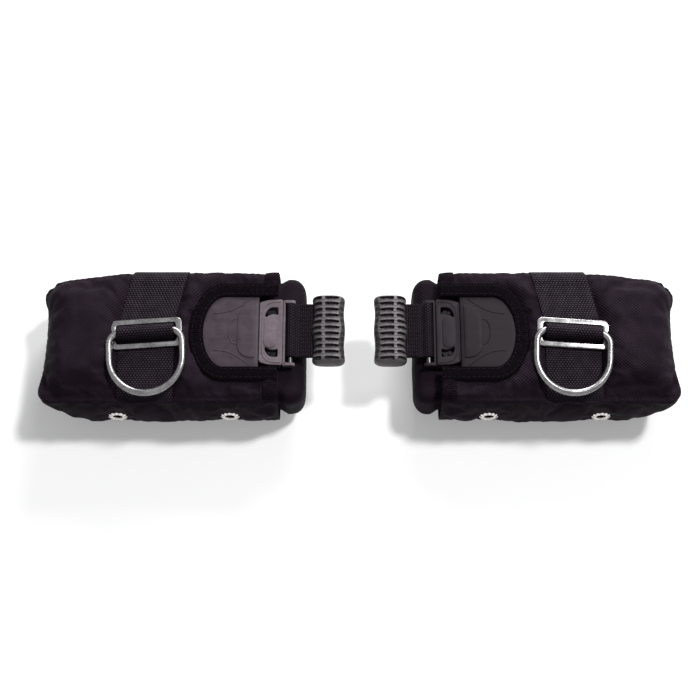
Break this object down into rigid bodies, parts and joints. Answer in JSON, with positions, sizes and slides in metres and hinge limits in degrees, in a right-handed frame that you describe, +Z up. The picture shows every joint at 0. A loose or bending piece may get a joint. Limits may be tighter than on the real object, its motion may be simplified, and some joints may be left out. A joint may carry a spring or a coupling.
{
  "type": "dive weight pockets",
  "caption": "Mirrored quick-release dive weight pockets for a waist belt, each with a slide-out weight pouch, sprung latch, ribbed pull handle and strap-mounted D-ring.",
  "frame": {"origin": "midway between the pockets, on the surface that their backs lie on", "axes": "+X along the row from the left pocket to the right one, +Y towards the pockets' top edges, +Z up out of their front panels"},
  "size_m": [0.558, 0.1234, 0.0791],
  "materials": {
    "sleeve_fabric": "black coated woven nylon",
    "pouch_fabric": "black woven nylon",
    "webbing": "black woven nylon webbing",
    "binding_tape": "black grosgrain tape",
    "stainless": "polished stainless steel",
    "eyelet_metal": "nickel plated",
    "receiver_plastic": "fine moulded texture, dark grey",
    "latch_plastic": "fine moulded texture, mid grey",
    "black_plastic": "moulded black",
    "grip_rubber": "moulded grey rubber",
    "lead": "cast lead"
  },
  "bodies": {
    "left_cartridge": {"left_weight_pouch": "pouch_fabric", "left_pouch_flap": "pouch_fabric", "left_lead_block_inner": "lead", "left_lead_block_outer": "lead", "left_latch_body": "black_plastic", "left_latch_cover": "latch_plastic", "left_prong_pin_upper": "stainless", "left_prong_pin_lower": "stainless", "left_prong_spring": "stainless"},
    "left_upper_prong": {"left_prong_upper": "black_plastic"},
    "left_lower_prong": {"left_prong_lower": "black_plastic"},
    "left_puller": {"left_release_slider": "black_plastic", "left_pull_bar": "stainless"},
    "left_handle": {"left_pull_webbing": "webbing", "left_grip": "grip_rubber", "left_grip_core": "black_plastic"},
    "left_pocket": {"left_sleeve": "sleeve_fabric", "left_mouth_binding": "binding_tape", "left_receiver_base": "receiver_plastic", "left_receiver_cover": "receiver_plastic", "left_d_strap": "webbing", "left_eyelet_inner": "eyelet_metal", "left_eyelet_outer": "eyelet_metal", "left_eyelet_washer_inner": "eyelet_metal", "left_eyelet_washer_outer": "eyelet_metal", "left_belt_loop_inner": "webbing", "left_belt_loop_outer": "webbing"},
    "left_strap_slide": {"left_triglide": "stainless"},
    "left_ring": {"left_d_ring": "stainless"},
    "right_cartridge": {"right_weight_pouch": "pouch_fabric", "right_pouch_flap": "pouch_fabric", "right_lead_block_inner": "lead", "right_lead_block_outer": "lead", "right_latch_body": "black_plastic", "right_latch_cover": "latch_plastic", "right_prong_pin_upper": "stainless", "right_prong_pin_lower": "stainless", "right_prong_spring": "stainless"},
    "right_upper_prong": {"right_prong_upper": "black_plastic"},
    "right_lower_prong": {"right_prong_lower": "black_plastic"},
    "right_puller": {"right_release_slider": "black_plastic", "right_pull_bar": "stainless"},
    "right_handle": {"right_pull_webbing": "webbing", "right_grip": "grip_rubber", "right_grip_core": "black_plastic"},
    "right_pocket": {"right_sleeve": "sleeve_fabric", "right_mouth_binding": "binding_tape", "right_receiver_base": "receiver_plastic", "right_receiver_cover": "receiver_plastic", "right_d_strap": "webbing", "right_eyelet_inner": "eyelet_metal", "right_eyelet_outer": "eyelet_metal", "right_eyelet_washer_inner": "eyelet_metal", "right_eyelet_washer_outer": "eyelet_metal", "right_belt_loop_inner": "webbing", "right_belt_loop_outer": "webbing"},
    "right_strap_slide": {"right_triglide": "stainless"},
    "right_ring": {"right_d_ring": "stainless"}
  },
  "joints": [
    {"name": "left_eject", "type": "slide", "parent": "left_cartridge", "child": "left_pocket", "axis": [-1, 0, 0], "range_m": [0, 0.2], "deforming": ["left_prong_upper", "left_prong_lower"]},
    {"name": "left_release_pull", "type": "slide", "parent": "left_cartridge", "child": "left_puller", "axis": [1, 0, 0], "range_m": [0, 0.006], "stiffness_N_per_m": 800, "deforming": ["left_prong_spring"]},
    {"name": "left_upper_prong_turn", "type": "hinge", "parent": "left_cartridge", "child": "left_upper_prong", "pos_m": [-0.079, 0.0212, 0.0579], "axis": [0, 0, 1], "range_deg": [0, 9]},
    {"name": "left_lower_prong_turn", "type": "hinge", "parent": "left_cartridge", "child": "left_lower_prong", "pos_m": [-0.079, -0.0168, 0.0579], "axis": [0, 0, 1], "range_deg": [-9, 0]},
    {"name": "left_handle_swing", "type": "hinge", "parent": "left_puller", "child": "left_handle", "pos_m": [-0.0605, 0.0022, 0.0595], "axis": [0, -1, 0], "range_deg": [-15, 80]},
    {"name": "left_ring_adjust", "type": "slide", "parent": "left_pocket", "child": "left_strap_slide", "axis": [0, 1, 0], "range_m": [-0.006, 0.01], "deforming": ["left_d_strap"]},
    {"name": "left_ring_swing", "type": "hinge", "parent": "left_strap_slide", "child": "left_ring", "pos_m": [-0.186, -0.001, 0.0734], "axis": [-0.9976, -0.0698, 0], "range_deg": [0, 165]},
    {"name": "pair_spacing", "type": "slide", "parent": "left_cartridge", "child": "right_cartridge", "axis": [1, 0, 0], "range_m": [-0.01, 0.3]},
    {"name": "right_eject", "type": "slide", "parent": "right_cartridge", "child": "right_pocket", "axis": [1, 0, 0], "range_m": [0, 0.2], "deforming": ["right_prong_upper", "right_prong_lower"]},
    {"name": "right_release_pull", "type": "slide", "parent": "right_cartridge", "child": "right_puller", "axis": [-1, 0, 0], "range_m": [0, 0.006], "stiffness_N_per_m": 800, "deforming": ["right_prong_spring"]},
    {"name": "right_upper_prong_turn", "type": "hinge", "parent": "right_cartridge", "child": "right_upper_prong", "pos_m": [0.079, 0.0212, 0.0579], "axis": [0, 0, 1], "range_deg": [-9, 0]},
    {"name": "right_lower_prong_turn", "type": "hinge", "parent": "right_cartridge", "child": "right_lower_prong", "pos_m": [0.079, -0.0168, 0.0579], "axis": [0, 0, 1], "range_deg": [0, 9]},
    {"name": "right_handle_swing", "type": "hinge", "parent": "right_puller", "child": "right_handle", "pos_m": [0.0605, 0.0022, 0.0595], "axis": [0, 1, 0], "range_deg": [-15, 80]},
    {"name": "right_ring_adjust", "type": "slide", "parent": "right_pocket", "child": "right_strap_slide", "axis": [0, 1, 0], "range_m": [-0.006, 0.01], "deforming": ["right_d_strap"]},
    {"name": "right_ring_swing", "type": "hinge", "parent": "right_strap_slide", "child": "right_ring", "pos_m": [0.186, -0.001, 0.0734], "axis": [-0.9976, 0.0698, 0], "range_deg": [0, 165]}
  ],
  "couplings": [
    {"joint": "left_upper_prong_turn", "follows": "left_release_pull", "rad_per_m": 26.177},
    {"joint": "left_lower_prong_turn", "follows": "left_release_pull", "rad_per_m": -26.177},
    {"joint": "right_upper_prong_turn", "follows": "right_release_pull", "rad_per_m": -26.177},
    {"joint": "right_lower_prong_turn", "follows": "right_release_pull", "rad_per_m": 26.177}
  ]
}
